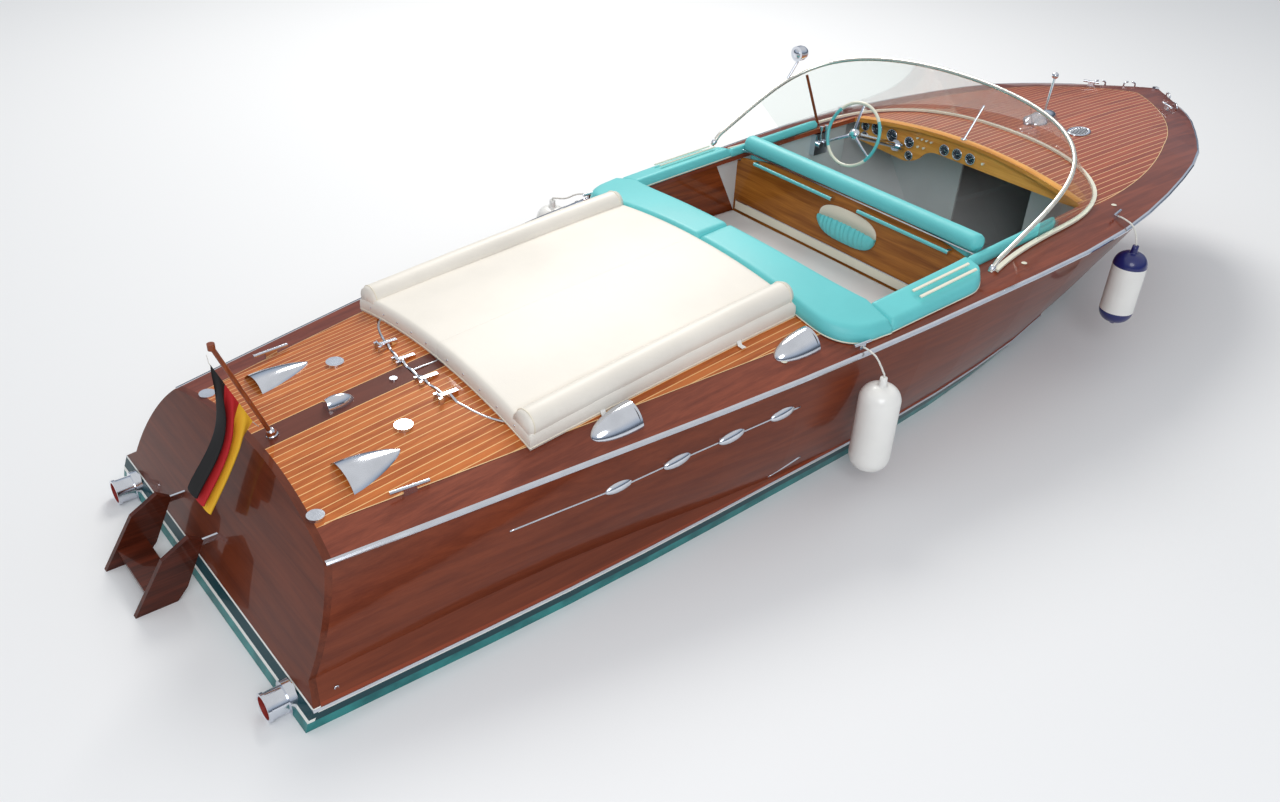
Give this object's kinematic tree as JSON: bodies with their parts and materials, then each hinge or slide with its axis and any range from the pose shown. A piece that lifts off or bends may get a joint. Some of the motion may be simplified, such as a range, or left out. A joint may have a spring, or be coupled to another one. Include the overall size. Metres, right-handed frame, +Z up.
{
  "type": "mahogany runabout speedboat",
  "caption": "Classic varnished mahogany runabout with wraparound windscreen, hinged engine hatch under a sun pad, wheel steering, and propellers and rudders under the stern.",
  "frame": {"origin": "on the centreline at the waterline, 4.0 m ahead of the corners where the boot stripe meets the transom", "axes": "+X to the bow, +Y to port, +Z up"},
  "size_m": [8.502, 2.9068, 2.2742],
  "materials": {
    "varnished_mahogany": "gloss",
    "dark_mahogany": "gloss",
    "bottom_paint": "satin",
    "inner_wood": "satin",
    "turquoise_vinyl": "satin",
    "cream_vinyl": "satin",
    "chrome": "polished",
    "bronze": "satin",
    "ivory_plastic": "gloss",
    "glass": "clear",
    "engine_iron": "satin",
    "fender_vinyl": "satin",
    "cord": "matte",
    "flag_cloth": "matte"
  },
  "bodies": {
    "hull": {"aft_deck": "varnished_mahogany", "armrest_strips": "chrome", "backrest_roll": "turquoise_vinyl", "bench_back": "varnished_mahogany", "bench_bases": "inner_wood", "bench_pocket": "turquoise_vinyl", "boarding_ladder": "varnished_mahogany", "boot_strips": "chrome", "bulkheads": "inner_wood", "cleats": "chrome", "coaming_pad_port": "turquoise_vinyl", "coaming_pad_starboard": "turquoise_vinyl", "cockpit_floor": "inner_wood", "cockpit_liners": "varnished_mahogany", "covering_board_port": "dark_mahogany", "covering_board_starboard": "dark_mahogany", "dash_instruments": "chrome", "dashboard": "varnished_mahogany", "deck_caps": "chrome", "deck_lights": "chrome", "deck_vents": "chrome", "engine_beds": "inner_wood", "engines": "engine_iron", "exhausts": "chrome", "fender_lanyards": "cord", "fenders": "fender_vinyl", "flag": "flag_cloth", "flagstaff": "varnished_mahogany", "foredeck": "varnished_mahogany", "front_bench_cushion": "turquoise_vinyl", "grab_rails": "ivory_plastic", "hatch_hinges": "chrome", "hull_bottom": "bottom_paint", "keel": "bottom_paint", "rear_bench_cushion": "cream_vinyl", "rub_rails": "chrome", "searchlight": "chrome", "shaft_gear": "bronze", "side_pads": "turquoise_vinyl", "side_vents": "chrome", "steering_column": "chrome", "stem_band": "chrome", "throttles": "chrome", "topside_port": "varnished_mahogany", "topside_starboard": "varnished_mahogany", "transom": "varnished_mahogany", "windshield_base": "ivory_plastic", "windshield_glass": "glass", "windshield_rim": "chrome", "windshield_stays": "chrome"},
    "hatch_leaf_port": {"hatch_port": "varnished_mahogany", "sun_pad_port": "cream_vinyl"},
    "hatch_leaf_starboard": {"hatch_starboard": "varnished_mahogany", "sun_pad_starboard": "cream_vinyl"},
    "propeller_port_body": {"propeller_port": "bronze"},
    "propeller_starboard_body": {"propeller_starboard": "bronze"},
    "rudder_port_body": {"rudder_port": "bronze"},
    "rudder_starboard_body": {"rudder_starboard": "bronze"},
    "steering_wheel_body": {"steering_wheel": "ivory_plastic"}
  },
  "joints": [
    {"name": "hatch_port_hinge", "type": "hinge", "parent": "hull", "child": "hatch_leaf_port", "pos_m": [-2.874, 0.2, 0.816], "axis": [0, -1, 0], "range_deg": [0, 55]},
    {"name": "hatch_starboard_hinge", "type": "hinge", "parent": "hull", "child": "hatch_leaf_starboard", "pos_m": [-2.874, -0.2, 0.816], "axis": [0, -1, 0], "range_deg": [0, 55]},
    {"name": "propeller_port_spin", "type": "hinge", "parent": "hull", "child": "propeller_port_body", "pos_m": [-3.56, 0.36, -0.52], "axis": [0.9877, 0, 0.1564], "continuous": true},
    {"name": "propeller_starboard_spin", "type": "hinge", "parent": "hull", "child": "propeller_starboard_body", "pos_m": [-3.56, -0.36, -0.52], "axis": [0.9877, 0, 0.1564], "continuous": true},
    {"name": "steering", "type": "hinge", "parent": "hull", "child": "steering_wheel_body", "pos_m": [0.95, 0.56, 1.08], "axis": [0.9397, 0, -0.342], "range_deg": [-450, 450]},
    {"name": "rudder_port_turn", "type": "hinge", "parent": "hull", "child": "rudder_port_body", "pos_m": [-3.88, 0.36, -0.3], "axis": [0, 0, 1], "range_deg": [-35, 35]},
    {"name": "rudder_starboard_turn", "type": "hinge", "parent": "hull", "child": "rudder_starboard_body", "pos_m": [-3.88, -0.36, -0.3], "axis": [0, 0, 1], "range_deg": [-35, 35]}
  ],
  "couplings": [
    {"joint": "rudder_port_turn", "follows": "steering", "ratio": 0.077778},
    {"joint": "rudder_starboard_turn", "follows": "steering", "ratio": 0.077778}
  ]
}
